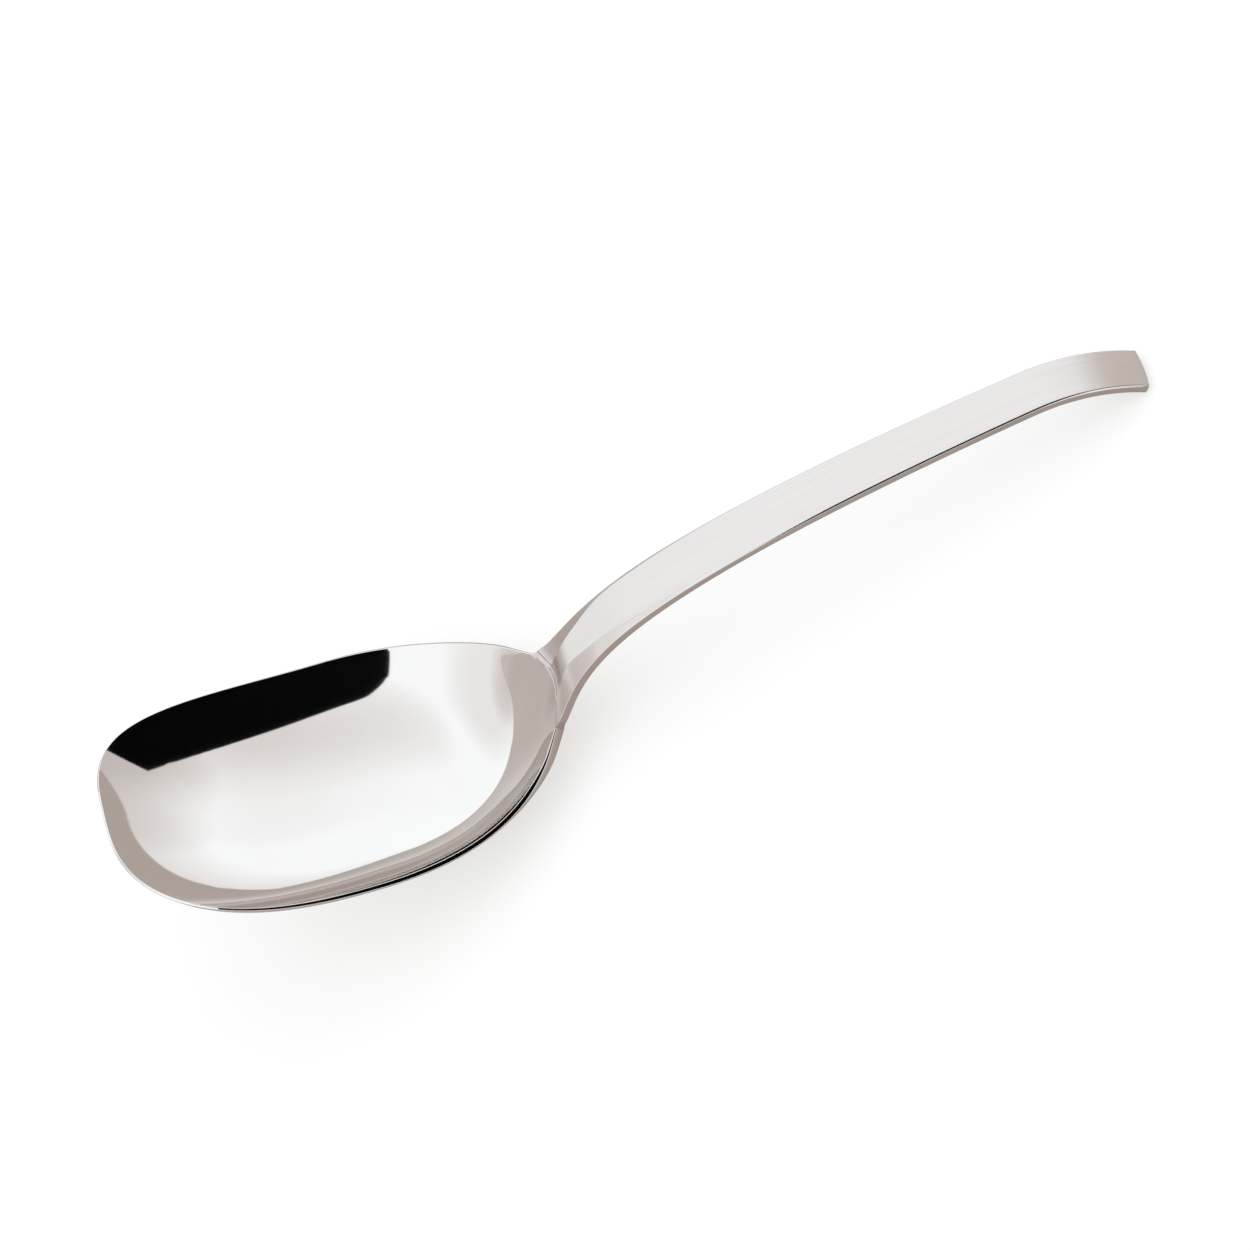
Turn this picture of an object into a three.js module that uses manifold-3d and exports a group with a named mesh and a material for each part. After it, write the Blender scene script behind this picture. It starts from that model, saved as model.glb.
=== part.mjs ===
import * as THREE from 'three';
import { mergeVertices } from 'three/addons/utils/BufferGeometryUtils.js';
import Module from 'manifold-3d';

// Rice serving spoon of stainless steel, lying on a table on its bowl's heel and its handle's tip.
// Millimetres. X runs from the bowl's tip to the handle's end, Y across the spoon, Z up.
// Every shape is drawn along, across and up from the bowl's tip with the ends of the rim level,
// and the whole spoon is tilted on to the table at the end.

// Rim of the hollow seen from above: a blunt half at the tip and a tapering half at the neck,
// each a quarter oval whose powers set how square its corner is
const hollowHalfWidth = 36.5;
const tipToWidest = 60.8;
const widestToNeck = 55.9;
const tipSidePower = 3.02;
const tipEndPower = 2.91;
const neckSidePower = 1.9;
const neckEndPower = 2.17;

// Rim of the hollow seen from the side: lowest at the widest place, rising to the tip and the neck
const rimSag = 10.4;
const tipRise = 1.3;
const neckRise = 1.4;
const tipSagPower = 2.11;
const neckSagPower = 4.3;

// Hollow below the rim's lowest place, deepest towards the neck, with powers that set how late its
// walls turn up, and the sheet it is pressed from, thicker towards the neck
const hollowDepth = 14.1;
const tipToDeepest = 84.3;
const tipWallPower = 2.66;
const sideWallPower = 2.73;
const neckWallPower = 2.39;
const sheet = 1.5;
const neckSheet = 2.6;
const sheetGrowthRun = 25.6;
const heelFlat = 0.15;

// Handle's upper edges seen from the side: they start just inside the neck's end of the rim, steep,
// ease to a long run that flattens slowly to the end, and curl down; slopes in degrees
const rootSetback = 0.5;
const rootDrop = 0.3;
const handleLength = 174.6;
const runSlope = 17.3;
const runFlattening = 8.12;
const neckSlope = 38.2;
const neckEase = 26;
const curlLength = 29.6;
const curlRadius = 45.1;

// Handle's section: half width tapering to the end and flaring at the root, the height of its side,
// and the bevels along the top edges, wide and raised near the neck
const runHalfWidth = 8.3;
const endHalfWidth = 6.25;
const rootFlare = 3.1;
const rootFlareFade = 8;
const sideHeight = 2.1;
const edgeBevel = 0.45;
const neckBevel = 5.6;
const neckBevelFade = 22;
const edgeCrown = 0.35;
const neckCrown = 1.0;
const neckCrownPlace = 20;
const neckCrownSpread = 13;
const bottomChamfer = 0.4;
const endBow = 0.5;

// Joint across the neck: the weld fills the space between rim and root, with a hairline at each side
const hairline = 0.3;
const weldWidth = 1.0;
const rootOverlap = 6;
const collarMargin = 5;
const collarTurn = 58;

// Fineness of the surfaces
const rimSteps = 80;
const hollowSteps = [0.16, 0.3, 0.43, 0.55, 0.66, 0.76, 0.85, 0.93, 1];
const neckRun = 60;
const neckStations = 26;
const runStations = 7;
const curlStations = 10;
const edgeSteps = 200;
const collarSteps = 32;

const wasm = await Module();
wasm.setup();

const steel = (name, color, roughness) => new THREE.MeshStandardMaterial({
  name,
  color,
  roughness,
  metalness: 1,
});

const easeIn = (t) => THREE.MathUtils.smoothstep(t, 0, 1);

// One point of the rim; angle 0 is the far side, a quarter turn the neck, three quarters the tip
function rimPoint(angle) {
  const side = Math.cos(angle);
  const end = Math.sin(angle);
  const atNeck = end > 0;
  const reach = atNeck ? widestToNeck : tipToWidest;
  const sidePower = atNeck ? neckSidePower : tipSidePower;
  const endPower = atNeck ? neckEndPower : tipEndPower;
  const span = Math.abs(end) ** (2 / endPower);
  const rise = rimSag + (atNeck ? neckRise : tipRise);
  return new THREE.Vector3(
    tipToWidest + Math.sign(end) * reach * span,
    hollowHalfWidth * Math.sign(side) * Math.abs(side) ** (2 / sidePower),
    rise * span ** (atNeck ? neckSagPower : tipSagPower) - rimSag,
  );
}

// One point of the hollow; spread runs from 0 at the middle of the floor to 1 on the rim
function hollowPoint(angle, spread) {
  const rim = rimPoint(angle);
  const end = Math.sin(angle);
  const floor = -rimSag - hollowDepth;
  const endWallPower = end > 0 ? neckWallPower : tipWallPower;
  const power = THREE.MathUtils.lerp(sideWallPower, endWallPower, end ** 2);
  return new THREE.Vector3(
    THREE.MathUtils.lerp(tipToDeepest, rim.x, spread),
    rim.y * spread,
    floor + (rim.z - floor) * spread ** power,
  );
}

// Directions at a point of the hollow: up the wall, and out through the sheet
function hollowDirections(angle, spread) {
  const nudge = 0.004;
  const upWall = hollowPoint(angle, spread + nudge).sub(hollowPoint(angle, spread - nudge)).normalize();
  const round = hollowPoint(angle + nudge, spread).sub(hollowPoint(angle - nudge, spread));
  const outward = upWall.clone().cross(round).normalize();
  return { upWall, outward };
}

function sheetAt(along) {
  const beforeNeck = tipToWidest + widestToNeck - along;
  return THREE.MathUtils.lerp(neckSheet, sheet, easeIn(beforeNeck / sheetGrowthRun));
}

function backPoint(angle, spread) {
  const inside = hollowPoint(angle, spread);
  return inside.addScaledVector(hollowDirections(angle, spread).outward, sheetAt(inside.x));
}

// Closed skin over rings of equal count; each end is closed by a fan to the given point
function skin(rings, startPoint, endPoint) {
  const count = rings[0].length;
  const points = [...rings.flat(), startPoint, endPoint];
  const start = rings.length * count;
  const last = (rings.length - 1) * count;
  const index = [];
  for (let i = 0; i < count; i += 1) {
    const next = (i + 1) % count;
    index.push(start, next, i);
    index.push(start + 1, last + i, last + next);
    for (let ring = 0; ring < last; ring += count) {
      index.push(ring + i, ring + next, ring + count + next);
      index.push(ring + i, ring + count + next, ring + count + i);
    }
  }
  const geometry = new THREE.BufferGeometry();
  geometry.setAttribute('position', new THREE.Float32BufferAttribute(points.flatMap((p) => p.toArray()), 3));
  geometry.setIndex(index);
  return geometry;
}

const middleOf = (ring) => ring.reduce((sum, p) => sum.add(p), new THREE.Vector3()).divideScalar(ring.length);

function solidFrom(geometry) {
  const welded = mergeVertices(geometry.clone(), 1e-4);
  return new wasm.Manifold(new wasm.Mesh({
    numProp: 3,
    vertProperties: new Float32Array(welded.attributes.position.array),
    triVerts: new Uint32Array(welded.index.array),
  }));
}

function geometryFrom(solid) {
  const mesh = solid.getMesh();
  const geometry = new THREE.BufferGeometry();
  geometry.setAttribute('position', new THREE.Float32BufferAttribute(mesh.vertProperties, 3));
  geometry.setIndex(Array.from(mesh.triVerts));
  return geometry;
}

// Bowl: a closed shell from the middle of the floor up over the rim and down the back
const rimAngles = Array.from({ length: rimSteps }, (_, i) => (i * 2 * Math.PI) / rimSteps);
const insideRings = hollowSteps.map((spread) => rimAngles.map((angle) => hollowPoint(angle, spread)));
const backRings = hollowSteps.map((spread) => rimAngles.map((angle) => backPoint(angle, spread)));
const floorMiddle = hollowPoint(0, 0);
const backMiddle = floorMiddle.clone().setZ(floorMiddle.z - sheet);
const bowlShell = skin([...insideRings, ...backRings.reverse()], floorMiddle, backMiddle);

// Handle's upper edges: positions and slopes found by walking along their length
const curlStart = handleLength - curlLength;

function slopeAt(length) {
  const flattening = (runFlattening * length) / handleLength;
  const run = runSlope - flattening + neckSlope / (1 + (length / neckEase) ** 2);
  return THREE.MathUtils.degToRad(run) - Math.max(0, length - curlStart) / curlRadius;
}

function edgeAt(length) {
  const stride = length / edgeSteps;
  const place = new THREE.Vector3(tipToWidest + widestToNeck - rootSetback, 0, neckRise - rootDrop);
  for (let i = 0; i < edgeSteps; i += 1) {
    const slope = slopeAt((i + 0.5) * stride);
    place.x += stride * Math.cos(slope);
    place.z += stride * Math.sin(slope);
  }
  return place;
}

function between(from, to, count) {
  return Array.from({ length: count }, (_, i) => from + ((to - from) * i) / count);
}

// One section of the handle, counted round from its near top corner; the end's section bows outwards
function handleSection(length) {
  const taper = THREE.MathUtils.lerp(runHalfWidth, endHalfWidth, length / handleLength);
  const half = taper + rootFlare * Math.exp(-length / rootFlareFade);
  const bevel = edgeBevel + neckBevel / (1 + (Math.max(0, length) / neckBevelFade) ** 4);
  const crownFade = ((length - neckCrownPlace) / neckCrownSpread) ** 2;
  const crown = edgeCrown + neckCrown * Math.exp(-crownFade);
  const flat = half - bevel;
  const floorHalf = half - bottomChamfer;
  const nearSide = [
    [-flat, crown],
    [-half, 0],
    [-half, bottomChamfer - sideHeight],
    [-floorHalf, -sideHeight],
  ];
  const farSide = nearSide.map(([across, up]) => [-across, up]).reverse();
  const outline = [
    ...nearSide,
    [-floorHalf / 2, -sideHeight],
    [0, -sideHeight],
    [floorHalf / 2, -sideHeight],
    ...farSide,
    [flat / 2, crown],
    [0, crown],
    [-flat / 2, crown],
  ];
  const bow = length === handleLength ? endBow : 0;
  return outline.map(([across, up]) => {
    const reach = length + bow * (1 - (across / half) ** 2);
    const slope = slopeAt(length);
    return edgeAt(reach).add(new THREE.Vector3(-up * Math.sin(slope), across, up * Math.cos(slope)));
  });
}

const stations = [
  ...between(-rootOverlap, neckRun, neckStations),
  ...between(neckRun, curlStart, runStations),
  ...between(curlStart, handleLength, curlStations),
  handleLength,
];
const sections = stations.map(handleSection);
const blank = solidFrom(skin(sections, middleOf(sections[0]), middleOf(sections.at(-1))));

// Collar round the neck's rim, between two distances up along the wall, as wide as the joint needs
function collar(fromRim, toRim) {
  const turn = THREE.MathUtils.degToRad(collarTurn);
  const rings = between(Math.PI / 2 + turn, Math.PI / 2 - turn, collarSteps).map((angle) => {
    const { upWall, outward } = hollowDirections(angle, 1);
    const corner = (up, out) => rimPoint(angle).addScaledVector(upWall, up).addScaledVector(outward, out);
    return [
      corner(fromRim, collarMargin),
      corner(fromRim, -collarMargin),
      corner(toRim, -collarMargin),
      corner(toRim, collarMargin),
    ];
  });
  return solidFrom(skin(rings, middleOf(rings[0]), middleOf(rings.at(-1))));
}

const weldSolid = blank.intersect(collar(hairline, hairline + weldWidth));
const handleSolid = blank.subtract(collar(-2 * rootOverlap, 2 * hairline + weldWidth));

// Rest on the table: the plane through the handle's tip that just takes the flat off the bowl's heel
const tipEdge = sections.at(-1).reduce((low, p) => (p.z < low.z ? p : low));
const heelSlopes = backRings.flat().map((p) => (tipEdge.z - p.z - heelFlat) / (tipEdge.x - p.x));
const tilt = Math.atan(Math.max(...heelSlopes));
const handleLaid = geometryFrom(handleSolid).rotateY(tilt);
const weldLaid = geometryFrom(weldSolid).rotateY(tilt);
const bowlLaid = bowlShell.rotateY(tilt);
handleLaid.computeBoundingBox();
bowlLaid.computeBoundingBox();
const table = handleLaid.boundingBox.min.z;
const middle = (bowlLaid.boundingBox.min.x + handleLaid.boundingBox.max.x) / 2;
for (const laid of [bowlLaid, weldLaid, handleLaid]) {
  laid.translate(-middle, 0, -table);
}

// Flat worn on the heel where the bowl stands
const tableTop = new THREE.BoxGeometry(2 * handleLength, 4 * hollowHalfWidth, 2 * hollowDepth);
tableTop.translate(0, 0, -hollowDepth);
tableTop.deleteAttribute('normal');
tableTop.deleteAttribute('uv');
const bowlSolid = solidFrom(bowlLaid).subtract(solidFrom(tableTop));

function piece(name, geometry, material) {
  const shape = geometry.toNonIndexed();
  shape.computeVertexNormals();
  const mesh = new THREE.Mesh(shape, material);
  mesh.name = name;
  return mesh;
}

const spoon = new THREE.Group();
spoon.name = 'rice_serving_spoon';
spoon.add(piece('bowl', geometryFrom(bowlSolid), steel('mirror_polished_steel', 0xd9d5d2, 0.05)));
spoon.add(piece('neck_weld', weldLaid, steel('polished_weld', 0xd2cdc9, 0.12)));
spoon.add(piece('handle', handleLaid, steel('satin_steel', 0xdcd9d6, 0.28)));

export default spoon;
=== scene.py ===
import math

import bpy
from mathutils import Matrix, Vector


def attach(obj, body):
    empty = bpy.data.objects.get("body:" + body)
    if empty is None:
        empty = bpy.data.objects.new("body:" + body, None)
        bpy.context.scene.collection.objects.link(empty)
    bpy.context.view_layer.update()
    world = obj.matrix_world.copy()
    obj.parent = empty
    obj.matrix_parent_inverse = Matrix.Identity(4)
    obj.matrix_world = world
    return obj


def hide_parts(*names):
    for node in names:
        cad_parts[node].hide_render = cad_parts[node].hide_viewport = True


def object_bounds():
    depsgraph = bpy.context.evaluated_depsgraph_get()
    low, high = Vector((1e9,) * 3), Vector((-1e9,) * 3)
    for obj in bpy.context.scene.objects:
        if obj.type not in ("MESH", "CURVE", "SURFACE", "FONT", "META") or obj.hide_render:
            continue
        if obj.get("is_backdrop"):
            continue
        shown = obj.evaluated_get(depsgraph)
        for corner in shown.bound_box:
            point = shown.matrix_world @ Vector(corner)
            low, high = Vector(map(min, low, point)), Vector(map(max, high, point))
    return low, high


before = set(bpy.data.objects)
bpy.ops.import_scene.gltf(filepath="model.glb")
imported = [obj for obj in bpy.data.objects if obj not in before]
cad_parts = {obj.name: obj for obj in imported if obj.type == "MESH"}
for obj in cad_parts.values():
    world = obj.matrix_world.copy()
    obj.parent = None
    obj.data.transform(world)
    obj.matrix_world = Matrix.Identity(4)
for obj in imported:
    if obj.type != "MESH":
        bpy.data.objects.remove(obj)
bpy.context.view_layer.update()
MM = 0.001

# Bowl. One sheet of stainless steel pressed into a deep hollow with a blunt tip and polished to a
# mirror all over, left thicker at the neck for the handle. The blank is a round disc in rings,
# pressed to the hollow's form, then given its thickness and a rounded rim. Sizes in millimetres.
HALF_WIDTH = 36.5
TIP_TO_WIDEST = 60.8
WIDEST_TO_NECK = 55.9
TIP_TO_DEEPEST = 84.3
RIM_SAG = 10.4
TIP_RISE = 1.3
NECK_RISE = 1.4
DEPTH = 14.1
# Powers of the rim's curve towards each end: across, along and up
NECK_CURVE = (1.9, 2.17, 4.3)
TIP_CURVE = (3.02, 2.91, 2.11)
# Powers of the wall's curve from floor to rim
SIDE_WALL = 2.73
NECK_WALL = 2.39
TIP_WALL = 2.66
# The rim dips beside the handle and runs out at its corners: size, place across and width
NECK_DIP = (0.6, 17.5, 4.5)
NECK_FLARE = (0.5, 10.5, 3.0)
NECK_FORM_POWER = 16
SHEET = 1.5
NECK_SHEET = 2.6
SHEET_GROWTH_RUN = 25.6
# The land is the rim's cut edge. It is thinnest at the tip and beside the handle, and the sheet
# reaches its full thickness a short run inside it, as a part of the way to the middle.
RIM_LAND = 1.3
TIP_LAND_SHARE = 0.55
LAND_GROWTH_START = 15
LAND_GROWTH_RUN = 70
NECK_LAND_SHARE = 0.45
LAND_RUN = 0.02
NECK_LAND_RUN = 0.009
# Places across at the neck where the land changes, and the run of each change
LAND_NARROWS = (28, 16)
EDGE_STEEPENS = (32, 10)
HANDLE_SEAT = (11.6, 1.5)
LAND_LIFT = 0.24
LIFT_STARTS = (25, 7)
LIFT_ENDS = (10, 2)
RIM_ROUND = 0.3
INNER_ROUND_SHARE = 0.9
FULLY_ROUNDED_LAND = 0.62
RIM_ROUND_SEGMENTS = 4
# The blank's rings, as parts of its radius
RIM_STEPS = 512
AT_RIM = 0.999
RIM_RINGS = [0.009, 0.0055, 0.0055]
WALL_RINGS = 40
WALL_SPAN = 0.14
FLOOR_RINGS = 42
FLOOR_SPAN = 0.82
# The spoon is drawn with the ends of its rim level, then laid on heel and handle's tip
LAID_TILT = math.radians(22.7585)
LAID_SHIFT = (-136.9755, 59.0190)


def laid(along, across, up):
    """Where a place on the spoon, in millimetres, lies on the table, in metres."""
    x = along * math.cos(LAID_TILT) + up * math.sin(LAID_TILT) + LAID_SHIFT[0]
    z = up * math.cos(LAID_TILT) - along * math.sin(LAID_TILT) + LAID_SHIFT[1]
    return Vector((x, across, z)) * MM


def smooth(part):
    """Eases from 0 to 1 as part goes from 0 to 1."""
    part = min(1.0, max(0.0, part))
    return part * part * (3 - 2 * part)


def blend(first, second, part):
    """Eases from a first value to a second as part goes from 0 to 1."""
    return first + (second - first) * smooth(part)


def hump(place, height, middle, width):
    """A rounded hump of a height, round its middle."""
    return height * math.exp(-((place - middle) / width) ** 2)


def inward(across, edge, run):
    """How far a place lies from an edge towards the middle, as a part of a run."""
    return (edge - abs(across)) / run


def rim_place(angle):
    """The rim: angle 0 is the far side, a quarter turn the neck, three quarters the tip."""
    side = math.cos(angle)
    end = math.sin(angle)
    at_neck = end > 0
    side_power, end_power, sag_power = NECK_CURVE if at_neck else TIP_CURVE
    reach = WIDEST_TO_NECK if at_neck else TIP_TO_WIDEST
    span = abs(end) ** (2 / end_power)
    along = TIP_TO_WIDEST + math.copysign(reach, end) * span
    across = HALF_WIDTH * math.copysign(abs(side) ** (2 / side_power), side)
    up = (RIM_SAG + (NECK_RISE if at_neck else TIP_RISE)) * span ** sag_power - RIM_SAG
    return along, across, up


def neck_form(across):
    """How far the rim runs out towards the handle, and how far it dips beside it."""
    return hump(abs(across), *NECK_FLARE), hump(abs(across), *NECK_DIP)


def hollow_place(angle, spread):
    """The hollow's surface: spread 0 is the middle of the floor, 1 the rim."""
    along, across, up = rim_place(angle)
    floor = -RIM_SAG - DEPTH
    end = math.sin(angle)
    wall_power = SIDE_WALL + ((NECK_WALL if end > 0 else TIP_WALL) - SIDE_WALL) * end ** 2
    flare, dip = neck_form(across) if end > 0 else (0, 0)
    near_rim = spread ** NECK_FORM_POWER
    reach = TIP_TO_DEEPEST + (along - TIP_TO_DEEPEST) * spread + flare * near_rim
    return reach, across * spread, floor + (up - floor) * spread ** wall_power - dip * near_rim


def sheet_at(along, across, spread):
    """The sheet's thickness at a place in the hollow, and that of the land beyond it."""
    full = blend(NECK_SHEET, SHEET, (TIP_TO_WIDEST + WIDEST_TO_NECK - along) / SHEET_GROWTH_RUN)
    land = RIM_LAND * blend(TIP_LAND_SHARE, 1.0, (along - LAND_GROWTH_START) / LAND_GROWTH_RUN)
    land_run = LAND_RUN
    if along > TIP_TO_DEEPEST:
        land *= blend(1.0, NECK_LAND_SHARE, inward(across, *LAND_NARROWS))
        land_run = blend(LAND_RUN, NECK_LAND_RUN, inward(across, *EDGE_STEEPENS))
        land = blend(land, full, inward(across, *HANDLE_SEAT))
    return land + (full - land) * min(1.0, (1 - spread) / land_run), land


def even_angles(count):
    """Angles whose places on the rim are evenly spaced."""
    fine_steps = 20000
    fine = [2 * math.pi * i / fine_steps for i in range(fine_steps + 1)]
    walk = [0.0]
    for first, second in zip(fine, fine[1:]):
        walk.append(walk[-1] + math.dist(rim_place(first), rim_place(second)))
    angles = []
    at = 0
    for i in range(count):
        while walk[at + 1] < walk[-1] * i / count:
            at += 1
        angles.append(fine[at])
    return angles


def to_linear(hex_colour):
    """A colour written as sRGB hex, as the linear values that a shader takes."""
    parts = [int(hex_colour[i:i + 2], 16) / 255 for i in (1, 3, 5)]
    return [c / 12.92 if c <= 0.04045 else ((c + 0.055) / 1.055) ** 2.4 for c in parts] + [1.0]


def add(tree, kind, settings=None, links=None):
    """A shader node with its settings, by input or by property name, and its input links."""
    node = tree.nodes.new(kind)
    for key, value in (settings or {}).items():
        if isinstance(key, int) or key in node.inputs:
            node.inputs[key].default_value = value
        else:
            setattr(node, key, value)
    for key, socket in (links or {}).items():
        tree.links.new(socket, node.inputs[key])
    return node


def ramp(tree, source, stops):
    """A colour ramp from a value, with stops of place and sRGB hex."""
    node = add(tree, "ShaderNodeValToRGB", links={"Fac": source})
    while len(node.color_ramp.elements) < len(stops):
        node.color_ramp.elements.new(0.5)
    for element, (place, hex_colour) in zip(node.color_ramp.elements, stops):
        element.position = place
        element.color = to_linear(hex_colour)
    return node.outputs["Color"]


def pattern_scale(size):
    """A texture's scale for a pattern of a size in millimetres."""
    return 1 / (size * MM)


def new_material(name):
    """An empty material and its tree."""
    material = bpy.data.materials.new(name)
    material.use_nodes = True
    material.node_tree.nodes.clear()
    return material, material.node_tree


def finish_piece(piece, name, material, nodes):
    """The finished piece's name, material and place in the frame."""
    piece.name = name
    piece.data.name = name
    piece.data.materials.clear()
    piece.data.materials.append(material)
    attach(piece, "root")
    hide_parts(*nodes)


bpy.ops.object.select_all(action="DESELECT")
bpy.ops.mesh.primitive_circle_add(vertices=RIM_STEPS, radius=1.0, fill_type="NGON")
bowl = bpy.context.active_object
bpy.ops.object.mode_set(mode="EDIT")
bpy.ops.mesh.select_all(action="SELECT")
wall_widths = [WALL_SPAN / WALL_RINGS] * WALL_RINGS
floor_widths = [FLOOR_SPAN / FLOOR_RINGS] * FLOOR_RINGS
for width in RIM_RINGS + wall_widths + floor_widths:
    bpy.ops.mesh.inset(thickness=width)
bpy.ops.mesh.poke()
bpy.ops.object.mode_set(mode="OBJECT")
blank_size = len(bowl.data.vertices)
rim_angles = even_angles(RIM_STEPS)
thickness = bowl.vertex_groups.new(name="sheet thickness")
lands = {}
rim_indices = {}
for vertex in bowl.data.vertices:
    spread = math.hypot(vertex.co.x, vertex.co.y)
    turn = math.atan2(vertex.co.x, vertex.co.y) / (2 * math.pi)
    step = round(turn * RIM_STEPS) % RIM_STEPS
    along, across, up = hollow_place(rim_angles[step], spread)
    thin, lands[vertex.index] = sheet_at(along, across, spread)
    if spread > AT_RIM:
        rim_indices[step] = vertex.index
    thickness.add([vertex.index], thin / NECK_SHEET, "REPLACE")
    vertex.co = laid(along, across, up)
solid = bowl.modifiers.new("sheet", "SOLIDIFY")
solid.thickness = NECK_SHEET * MM
solid.offset = -1
solid.vertex_group = thickness.name
solid.use_even_offset = True
bpy.ops.object.modifier_apply(modifier=solid.name)
# Beside the handle the land's outer edge is lifted a little, which turns the land upwards
for step, angle in enumerate(rim_angles):
    across = rim_place(angle)[1]
    if math.sin(angle) > 0:
        lift = LAND_LIFT * smooth(inward(across, *LIFT_STARTS))
        lift *= smooth(-inward(across, *LIFT_ENDS))
        bowl.data.vertices[blank_size + rim_indices[step]].co.z += lift * MM
weights = bowl.data.attributes.new("bevel_weight_edge", "FLOAT", "EDGE")
for edge in bowl.data.edges:
    low, high = sorted(edge.vertices)
    share = min(1.0, lands[edge.vertices[0] % blank_size] / FULLY_ROUNDED_LAND)
    if high < RIM_STEPS:
        weights.data[edge.index].value = INNER_ROUND_SHARE * share
    elif low >= blank_size and high < blank_size + RIM_STEPS:
        weights.data[edge.index].value = share
rounding = bowl.modifiers.new("rim", "BEVEL")
rounding.width = RIM_ROUND * MM
rounding.segments = RIM_ROUND_SEGMENTS
rounding.limit_method = "WEIGHT"
rounding.harden_normals = True
bpy.ops.object.shade_smooth()
bpy.ops.object.modifier_apply(modifier=rounding.name)
# The heel is flat where the spoon rests on the table
for vertex in bowl.data.vertices:
    vertex.co.z = max(0.0, vertex.co.z)

# Mirror-polished stainless steel: clear reflections with a warm grey cast, and the slight haze and
# wander of a buffed surface, so that reflected edges aren't perfectly straight
MIRROR_ROUGHNESS = 0.045
HAZE_SIZE = 16.6667
WANDER_SIZE = 11.1111
WANDER_HEIGHT = 0.006
mirror, tree = new_material("mirror_polished_stainless_steel")
place = add(tree, "ShaderNodeTexCoord").outputs["Object"]
haze = add(tree, "ShaderNodeTexNoise", {"Scale": pattern_scale(HAZE_SIZE), "Detail": 2.0},
           {"Vector": place})
tint = ramp(tree, haze.outputs["Fac"], [(0.3, "#c4bab4"), (0.7, "#c6bcb6")])
wander = add(tree, "ShaderNodeTexNoise", {"Scale": pattern_scale(WANDER_SIZE), "Detail": 1.0},
             {"Vector": place})
uneven = add(tree, "ShaderNodeBump", {"Strength": 1.0, "Distance": WANDER_HEIGHT * MM},
             {"Height": wander.outputs["Fac"]})
shader = add(tree, "ShaderNodeBsdfPrincipled", {"Metallic": 1.0, "Roughness": MIRROR_ROUGHNESS},
             {"Base Color": tint, "Normal": uneven.outputs["Normal"]})
add(tree, "ShaderNodeOutputMaterial", links={"Surface": shader.outputs["BSDF"]})
finish_piece(bowl, "bowl_pressed_sheet", mirror, ["bowl"])

# Handle. A flat strip of stainless steel, tapered, bent up steeply from the neck and curled down at
# its tip, with bevels ground along its top edges that widen towards the neck. The blank is a flat
# grid of strips, thickened, then bent; its edges are rounded last. Sizes in millimetres and degrees.
HANDLE_LENGTH = 174.6
ROOT = (116.2, 1.1)
SLOPE = 17.3
SLOPE_LOSS = 8.12
ROOT_STEEPER = 38.2
ROOT_BEND = 26
CURL_LENGTH = 29.6
CURL_RADIUS = 45.1
HALF_STRIP = 8.3
HALF_STRIP_TAPER = 2.05
ROOT_FLARE = 3.1
ROOT_FLARE_RUN = 8
CORNER_FLARE = 1.2
CORNER_FLARE_RUN = 3.1
EDGE_BEVEL = 0.4
ROOT_BEVEL = 5.9
ROOT_BEVEL_RUN = 20
# The top stands above the edges by a crown, with humps near the root: height, place and width
CROWN = 0.48
CROWN_RUN = 14
CROWN_HUMPS = [(1.0, 24, 11), (0.8, 10, 6)]
SIDE_HEIGHT = 2.1
SIDE_THINNING = 0.42
SIDE_THINNING_RUN = 110
TIP_BOW = 0.5
# The root comes down on to the rim over a blend, and is thicker below, except at its edges
WELD_REACH = 1.6
ROOT_BLEND = 6.0
ROOT_THICKENING = 0.28
ROOT_THICKENING_RUN = 9
THICKENING_POWER = 4
EDGE_ROUND = 0.14
EDGE_ANGLE = 9
LINE_STEP = 0.1
LINE_PAST_TIP = 2
LINE_BEFORE_ROOT = 12
HANDLE_STEPS = 120
ROOT_CROWDING = 1.25
ROWS = 24
SETTLING_ROUNDS = 4


def slope_at(length):
    """The handle's slope in radians at a length from its root."""
    root_rise = ROOT_STEEPER / (1 + (length / ROOT_BEND) ** 2)
    slope = SLOPE - SLOPE_LOSS * length / HANDLE_LENGTH + root_rise
    return math.radians(slope) - max(0.0, length - HANDLE_LENGTH + CURL_LENGTH) / CURL_RADIUS


def edge_line(step):
    """The line of the handle's upper edges, walked from the root in both directions."""
    line = {}
    for sign, far in ((1, HANDLE_LENGTH + LINE_PAST_TIP), (-1, LINE_BEFORE_ROOT)):
        along, up = ROOT
        for i in range(int(far / step) + 1):
            line[sign * i] = (along, up)
            slope = slope_at(sign * (i + 0.5) * step)
            along += sign * step * math.cos(slope)
            up += sign * step * math.sin(slope)
    return line


line = edge_line(LINE_STEP)


def drawn_place(length, up):
    """A place along and up, from a length on the bent strip's line and a height over it."""
    low = math.floor(length / LINE_STEP)
    part = length / LINE_STEP - low
    along = line[low][0] + (line[low + 1][0] - line[low][0]) * part
    rise = line[low][1] + (line[low + 1][1] - line[low][1]) * part
    slope = slope_at(length)
    return along - up * math.sin(slope), rise + up * math.cos(slope)


def half_width(length):
    """Half the strip's width at a length from the root."""
    if length > 0:
        flare = ROOT_FLARE * math.exp(-length / ROOT_FLARE_RUN)
    else:
        flare = ROOT_FLARE + CORNER_FLARE * (1 - math.exp(length / CORNER_FLARE_RUN))
    return HALF_STRIP - HALF_STRIP_TAPER * length / HANDLE_LENGTH + flare


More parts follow.
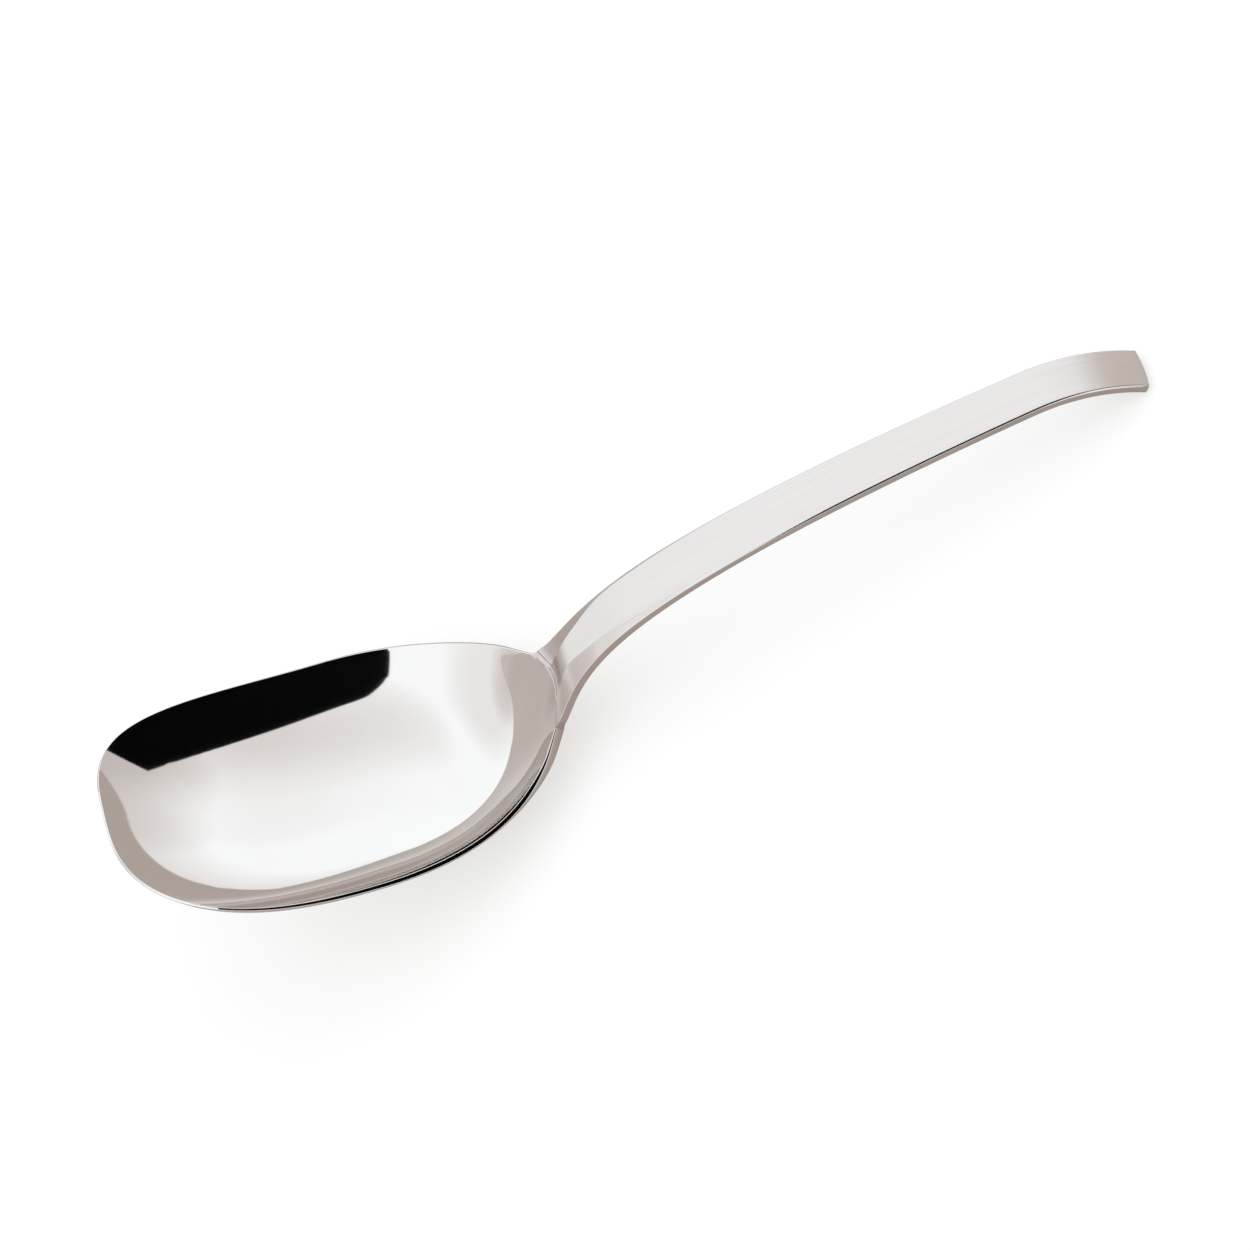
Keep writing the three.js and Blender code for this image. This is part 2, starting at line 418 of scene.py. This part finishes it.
def top_profile(length):
    """The width of the top bevel and the height of the top above its edges, at a length."""
    bevel = EDGE_BEVEL + ROOT_BEVEL / (1 + (max(0.0, length) / ROOT_BEVEL_RUN) ** 3)
    crown = CROWN * smooth(length / CROWN_RUN)
    return bevel, crown + sum(hump(length, *form) for form in CROWN_HUMPS)


def rim_at(across):
    """The rim of the bowl at a place across, near the neck: along and up."""
    side_power, end_power, sag_power = NECK_CURVE
    span = (1 - (abs(across) / HALF_WIDTH) ** side_power) ** (1 / end_power)
    flare, dip = neck_form(across)
    up = (RIM_SAG + NECK_RISE) * span ** sag_power - RIM_SAG - dip
    return TIP_TO_WIDEST + WIDEST_TO_NECK * span + flare, up


def rim_length(across):
    """The length on the handle's line that is level with the rim at this place across."""
    along, up = rim_at(across)
    slope = slope_at(0)
    return (along - ROOT[0]) * math.cos(slope) + (up - ROOT[1]) * math.sin(slope)


def strip_place(length, across, top, below):
    """A place on the strip: top is the top's height over the edges, below the depth under it."""
    start = rim_length(across)
    foot = drawn_place(start, top)
    rim = rim_at(across)
    hold = 1 - smooth((length - start) / ROOT_BLEND)
    outward = min(1.0, abs(across) / half_width(length))
    thicker = blend(ROOT_THICKENING, 0.0, (length - start) / ROOT_THICKENING_RUN)
    thicker *= 1 - outward ** THICKENING_POWER
    along, up = drawn_place(length, top - below * (1 + thicker))
    return laid(along + (rim[0] - foot[0]) * hold, across, up + (rim[1] - foot[1]) * hold)


def strip_blank(steps, rows):
    """A flat strip, one thick, in a grid of steps along X and rows across Y, both from -1 to 1."""
    bpy.ops.object.select_all(action="DESELECT")
    bpy.ops.mesh.primitive_grid_add(x_subdivisions=steps, y_subdivisions=rows, size=2)
    blank = bpy.context.active_object
    bpy.ops.object.mode_set(mode="EDIT")
    bpy.ops.mesh.select_all(action="SELECT")
    bpy.ops.mesh.extrude_region_move(TRANSFORM_OT_translate={"value": (0, 0, -1)})
    bpy.ops.mesh.select_all(action="SELECT")
    bpy.ops.mesh.normals_make_consistent(inside=False)
    bpy.ops.object.mode_set(mode="OBJECT")
    return blank


def across_at(row, half, flat):
    """The place across of a row: the edges, and even rows on the top between the bevels."""
    if row in (0, ROWS):
        return -half if row == 0 else half
    return flat * (2 * (row - 1) / (ROWS - 2) - 1)


def round_edges(piece, width, angle):
    """Rounds the edges sharper than an angle and keeps the faces beside them flat in the light."""
    rounding = piece.modifiers.new("edges", "BEVEL")
    rounding.width = width * MM
    rounding.segments = 2
    rounding.limit_method = "ANGLE"
    rounding.angle_limit = math.radians(angle)
    bpy.ops.object.modifier_apply(modifier=rounding.name)
    bpy.ops.object.shade_smooth()
    weighted = piece.modifiers.new("faces", "WEIGHTED_NORMAL")
    bpy.ops.object.modifier_apply(modifier=weighted.name)


handle = strip_blank(HANDLE_STEPS, ROWS)
for vertex in handle.data.vertices:
    row = round((vertex.co.y + 1) / 2 * ROWS)
    part = ((vertex.co.x + 1) / 2) ** ROOT_CROWDING
    length = part * HANDLE_LENGTH
    for again in range(SETTLING_ROUNDS):
        half = half_width(length)
        bevel, crown = top_profile(length)
        across = across_at(row, half, half - bevel)
        start = rim_length(across) + WELD_REACH
        bow = TIP_BOW * (1 - (across / half) ** 2)
        length = start + (HANDLE_LENGTH + bow - start) * part
    if row in (0, ROWS):
        top = 0
        depth = SIDE_HEIGHT * blend(1.0, 1 - SIDE_THINNING, length / SIDE_THINNING_RUN)
    else:
        top = crown
        depth = SIDE_HEIGHT + crown
    on_top = vertex.co.z > -0.5
    vertex.co = strip_place(length, across, top, 0 if on_top else depth)
round_edges(handle, EDGE_ROUND, EDGE_ANGLE)

# Satin brushed stainless steel: fine lines along the top that soften the reflections into a pale
# silver sheen and fade out towards the polished neck. Bevels and sides are smoother, so that they
# show clearer reflections and a thin dark line along the near edge.
LINE_LENGTH = 33.3333
LINE_WIDTH = 0.192308
LINE_HEIGHT = 0.02
LINE_STRENGTH = 0.12
LINES_START = -22
LINES_FULL = 20
TOP_ROUGHNESS = 0.28
BEVEL_ROUGHNESS = 0.12
TOP_TILT = 0.1
BEVEL_TILT = 0.24
satin, tree = new_material("satin_brushed_stainless_steel")
coordinates = add(tree, "ShaderNodeTexCoord")
place = coordinates.outputs["Object"]
line_scale = [pattern_scale(size) for size in (LINE_LENGTH, LINE_WIDTH, LINE_LENGTH)]
stretched = add(tree, "ShaderNodeMapping", {"Scale": line_scale}, {"Vector": place})
lines = add(tree, "ShaderNodeTexNoise", {"Scale": 1.0, "Detail": 2.0},
            {"Vector": stretched.outputs["Vector"]})
tint = ramp(tree, lines.outputs["Fac"], [(0.25, "#b6aba5"), (0.75, "#bfb4ae")])
along_x = add(tree, "ShaderNodeSeparateXYZ", links={"Vector": place}).outputs["X"]
beyond_neck = add(tree, "ShaderNodeMapRange",
                  {"From Min": LINES_START * MM, "From Max": LINES_FULL * MM}, {"Value": along_x})
facing = add(tree, "ShaderNodeSeparateXYZ", links={"Vector": coordinates.outputs["Normal"]})
tilt = add(tree, "ShaderNodeMath", {"operation": "ABSOLUTE"}, {0: facing.outputs["Y"]})
rough = add(tree, "ShaderNodeMapRange", {"From Min": TOP_TILT, "From Max": BEVEL_TILT,
                                         "To Min": TOP_ROUGHNESS, "To Max": BEVEL_ROUGHNESS},
            {"Value": tilt.outputs["Value"]})
scratch = add(tree, "ShaderNodeMath", {"operation": "MULTIPLY"},
              {0: lines.outputs["Fac"], 1: beyond_neck.outputs["Result"]})
grain = add(tree, "ShaderNodeBump", {"Strength": LINE_STRENGTH, "Distance": LINE_HEIGHT * MM},
            {"Height": scratch.outputs["Value"]})
shader = add(tree, "ShaderNodeBsdfPrincipled", {"Metallic": 1.0},
             {"Base Color": tint, "Roughness": rough.outputs["Result"],
              "Normal": grain.outputs["Normal"]})
add(tree, "ShaderNodeOutputMaterial", links={"Surface": shader.outputs["BSDF"]})
finish_piece(handle, "handle_bent_strip", satin, ["handle"])

# Neck weld. The seam where the handle's root is welded on to the rim of the bowl, ground down level
# and polished: a narrow band across the neck that dips a little towards the handle.
# It has the handle's section and follows the rim. Sizes in millimetres and degrees.
WELD_START = 0.06
WELD_END = 1.54
WELD_DIP = 0.05
WELD_STEPS = 4
WELD_ROUND = 0.05
WELD_ANGLE = 20
weld = strip_blank(WELD_STEPS, ROWS)
for vertex in weld.data.vertices:
    row = round((vertex.co.y + 1) / 2 * ROWS)
    part = (vertex.co.x + 1) / 2
    length = 0.0
    for again in range(SETTLING_ROUNDS):
        bevel, crown = top_profile(length)
        half = half_width(length)
        across = across_at(row, half, half - bevel)
        length = rim_length(across) + WELD_START + (WELD_END - WELD_START) * part
    top = 0 if row in (0, ROWS) else crown
    on_top = vertex.co.z > -0.5
    depth = WELD_DIP * part if on_top else SIDE_HEIGHT + top
    vertex.co = strip_place(length, across, top, depth)
round_edges(weld, WELD_ROUND, WELD_ANGLE)

# Polished weld metal: a bright band, a little duller and more clouded than the mirror beside it
WELD_ROUGHNESS = 0.2
CLOUD_SIZE = 2.5
seam, tree = new_material("polished_weld_stainless_steel")
place = add(tree, "ShaderNodeTexCoord").outputs["Object"]
clouds = add(tree, "ShaderNodeTexNoise", {"Scale": pattern_scale(CLOUD_SIZE), "Detail": 2.0},
             {"Vector": place})
tint = ramp(tree, clouds.outputs["Fac"], [(0.3, "#ada29c"), (0.7, "#b5aaa4")])
shader = add(tree, "ShaderNodeBsdfPrincipled", {"Metallic": 1.0, "Roughness": WELD_ROUGHNESS},
             {"Base Color": tint})
add(tree, "ShaderNodeOutputMaterial", links={"Surface": shader.outputs["BSDF"]})
finish_piece(weld, "neck_weld_band", seam, ["neck_weld"])

# Table. A plain pale floor that takes the spoon's soft shadow and shows as white round it. In the
# steel's reflections it is a dimmer warm grey, and from below it isn't there. Sizes in metres.
TABLE_SIZE = 12
TABLE_DROP = 0.0002
GLOW_SHARE = 0.55
SEEN_GLOW = 1.12
MIRRORED_GLOW = 0.6
bpy.ops.object.select_all(action="DESELECT")
bpy.ops.mesh.primitive_plane_add(size=TABLE_SIZE, location=(0, 0, -TABLE_DROP))
table = bpy.context.active_object
table.name = "table"
paper, tree = new_material("matt_white_paper")
path = add(tree, "ShaderNodeLightPath")
mirrored = path.outputs["Is Glossy Ray"]
matt = add(tree, "ShaderNodeBsdfDiffuse", {"Color": to_linear("#d1cac3")})
seen_glow = add(tree, "ShaderNodeMath", {"operation": "MULTIPLY", 1: SEEN_GLOW},
                {0: path.outputs["Is Camera Ray"]})
strength = add(tree, "ShaderNodeMath", {"operation": "MULTIPLY_ADD", 1: MIRRORED_GLOW},
               {0: mirrored, 2: seen_glow.outputs["Value"]})
# Sockets 6 and 7 of a mix of colours are its two colours, and its output 2 is the mixed one
tone = add(tree, "ShaderNodeMix",
           {"data_type": "RGBA", 6: to_linear("#ffffff"), 7: to_linear("#f0e2d9")}, {0: mirrored})
glow = add(tree, "ShaderNodeEmission",
           links={"Color": tone.outputs[2], "Strength": strength.outputs["Value"]})
lit_paper = add(tree, "ShaderNodeMixShader", {"Fac": GLOW_SHARE},
                {1: matt.outputs["BSDF"], 2: glow.outputs["Emission"]})
under = add(tree, "ShaderNodeNewGeometry").outputs["Backfacing"]
clear = add(tree, "ShaderNodeBsdfTransparent")
shown = add(tree, "ShaderNodeMixShader",
            links={"Fac": under, 1: lit_paper.outputs["Shader"], 2: clear.outputs["BSDF"]})
add(tree, "ShaderNodeOutputMaterial", links={"Surface": shown.outputs["Shader"]})
table.data.materials.append(paper)
table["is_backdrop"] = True

# Studio sky. A soft white light from all round, a little cool where it is brightest, that dims
# towards the horizon and in four directions. The camera sees plain white instead.
# Each zone has its direction, then the closeness and level at its edge and at its middle.
HORIZON_LEVEL = 0.78
HORIZON_HEIGHT = 0.25
SKY_ZONES = [
    ((0.75, -0.15, 0.643), (0.6, 2.02), (0.98, 1.42)),
    ((0.943, 0.325, 0.07), (0.905, 1.0), (0.985, 0.66)),
    ((-0.75, 0.05, 0.66), (0.74, 1.0), (0.93, 0.83)),
    ((-0.9, 0.2, 0.38), (0.93, 1.0), (0.99, 0.74))]
COOL_LEVEL = 1.97
NEUTRAL_LEVEL = 1.22
world = bpy.data.worlds.new("studio")
bpy.context.scene.world = world
world.use_nodes = True
tree = world.node_tree
tree.nodes.clear()
direction = add(tree, "ShaderNodeTexCoord").outputs["Generated"]
height = add(tree, "ShaderNodeSeparateXYZ", links={"Vector": direction}).outputs["Z"]
level = add(tree, "ShaderNodeMapRange", {"From Min": 0.0, "From Max": HORIZON_HEIGHT,
                                         "To Min": HORIZON_LEVEL, "To Max": 1.0},
            {"Value": height}).outputs["Result"]
for toward, (edge, edge_level), (middle, middle_level) in SKY_ZONES:
    closeness = add(tree, "ShaderNodeVectorMath", {"operation": "DOT_PRODUCT", 1: toward},
                    {0: direction})
    zone = add(tree, "ShaderNodeMapRange", {"From Min": edge, "From Max": middle,
                                            "To Min": edge_level, "To Max": middle_level},
               {"Value": closeness.outputs["Value"]})
    level = add(tree, "ShaderNodeMath", {"operation": "MULTIPLY"},
                {0: level, 1: zone.outputs["Result"]}).outputs["Value"]
dimness = add(tree, "ShaderNodeMapRange", {"From Min": COOL_LEVEL, "From Max": NEUTRAL_LEVEL},
              {"Value": level})
cast = ramp(tree, dimness.outputs["Result"], [(0.0, "#eaf7ff"), (1.0, "#f2f5f9")])
sky = add(tree, "ShaderNodeBackground", links={"Color": cast, "Strength": level})
white = add(tree, "ShaderNodeBackground", {"Color": to_linear("#ffffff"), "Strength": 1.0})
seen = add(tree, "ShaderNodeLightPath").outputs["Is Camera Ray"]
both = add(tree, "ShaderNodeMixShader",
           links={"Fac": seen, 1: sky.outputs["Background"], 2: white.outputs["Background"]})
add(tree, "ShaderNodeOutputWorld", links={"Surface": both.outputs["Shader"]})

# Dark panel. A large matt black card on the camera's side, which the bowl's far wall, its near rim
# and the handle's near edge show as black. It is left out of second reflections.
# Its corners are given sideways and up, as parts of its distance in metres.
PANEL_FACES = math.radians(35)
PANEL_AWAY = 1.5
PANEL_FROM = Vector((-0.08, 0, 0.03))
PANEL_CORNERS = [(7.5, 1.4), (0.5, 1.53), (-0.1, 1.53), (-0.6, 1.35),
                 (-0.95, 1.05), (-0.95, 0.55), (0, 0.42), (3.8, 0.3)]
FIRST_REFLECTION = 1.5


def stage_card(name, corners):
    """A flat many-sided card with its corners at these places, shown in reflections only."""
    bpy.ops.object.select_all(action="DESELECT")
    bpy.ops.mesh.primitive_circle_add(vertices=len(corners), fill_type="NGON")
    card = bpy.context.active_object
    card.name = name
    for vertex, corner in zip(card.data.vertices, corners):
        vertex.co = corner
    card.visible_camera = False
    card.visible_diffuse = False
    card.visible_shadow = False
    return card


toward = Vector((math.sin(PANEL_FACES), -math.cos(PANEL_FACES), 0))
sideways = Vector((math.cos(PANEL_FACES), math.sin(PANEL_FACES), 0))
panel = stage_card("dark_panel", [
    PANEL_FROM + (toward + sideways * side + Vector((0, 0, rise))) * PANEL_AWAY
    for side, rise in PANEL_CORNERS])
black, tree = new_material("matt_black_card")
flat_black = add(tree, "ShaderNodeBsdfDiffuse", {"Color": to_linear("#050505")})
depth = add(tree, "ShaderNodeLightPath").outputs["Glossy Depth"]
first = add(tree, "ShaderNodeMath", {"operation": "LESS_THAN", 1: FIRST_REFLECTION}, {0: depth})
clear = add(tree, "ShaderNodeBsdfTransparent")
shown = add(tree, "ShaderNodeMixShader", links={"Fac": first.outputs["Value"],
                                                1: clear.outputs["BSDF"],
                                                2: flat_black.outputs["BSDF"]})
add(tree, "ShaderNodeOutputMaterial", links={"Surface": shown.outputs["Shader"]})
panel.data.materials.append(black)
panel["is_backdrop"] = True

# Grey card. A small round card beyond the handle's end, dimmer than the sky and soft at its edge,
# which the handle's curl shows as a soft grey. Sizes in metres.
CARD_PLACE = Vector((0.215, 0.058, 0.042))
CARD_ACROSS = Vector((-0.587, 0.81, 0))
CARD_RADIUS = 0.062
CARD_CORE = 0.02
CARD_GLOW = 1.02
CARD_CORNERS = 48
card_turns = [2 * math.pi * i / CARD_CORNERS for i in range(CARD_CORNERS)]
card = stage_card("warm_grey_card", [
    CARD_PLACE + (CARD_ACROSS * -math.sin(turn) + Vector((0, 0, math.cos(turn)))) * CARD_RADIUS
    for turn in card_turns])
grey, tree = new_material("warm_grey_card")
place = add(tree, "ShaderNodeTexCoord").outputs["Object"]
out = add(tree, "ShaderNodeVectorMath", {"operation": "DISTANCE", 1: CARD_PLACE}, {0: place})
soft = add(tree, "ShaderNodeMapRange", {"From Min": CARD_CORE, "From Max": CARD_RADIUS,
                                        "To Min": 1.0, "To Max": 0.0},
           {"Value": out.outputs["Value"]})
clear = add(tree, "ShaderNodeBsdfTransparent")
glow = add(tree, "ShaderNodeEmission", {"Color": to_linear("#fffcfb"), "Strength": CARD_GLOW})
shown = add(tree, "ShaderNodeMixShader", links={"Fac": soft.outputs["Result"],
                                                1: clear.outputs["BSDF"],
                                                2: glow.outputs["Emission"]})
add(tree, "ShaderNodeOutputMaterial", links={"Surface": shown.outputs["Shader"]})
card.data.materials.append(grey)
card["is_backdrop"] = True

# Camera. A long lens from the front right and above, rolled so that the spoon runs up to the right.
# Its place is in metres, its lens and sensor in millimetres.
LENS = 172.8
SENSOR = 36
CAMERA_PLACE = (0.412247, -0.930079, 1.101220)
CAMERA_RIGHT = Vector((0.822358, -0.234551, -0.518376))
CAMERA_UP = Vector((0.495114, 0.743899, 0.448861))
camera = bpy.data.objects.new("camera", bpy.data.cameras.new("camera"))
bpy.context.scene.collection.objects.link(camera)
camera.data.lens = LENS
camera.data.sensor_width = SENSOR
turn = Matrix((CAMERA_RIGHT, CAMERA_UP, CAMERA_RIGHT.cross(CAMERA_UP))).transposed().to_4x4()
camera.matrix_world = Matrix.Translation(CAMERA_PLACE) @ turn
bpy.context.scene.camera = camera
bpy.context.scene.view_settings.view_transform = "Standard"

low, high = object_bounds()
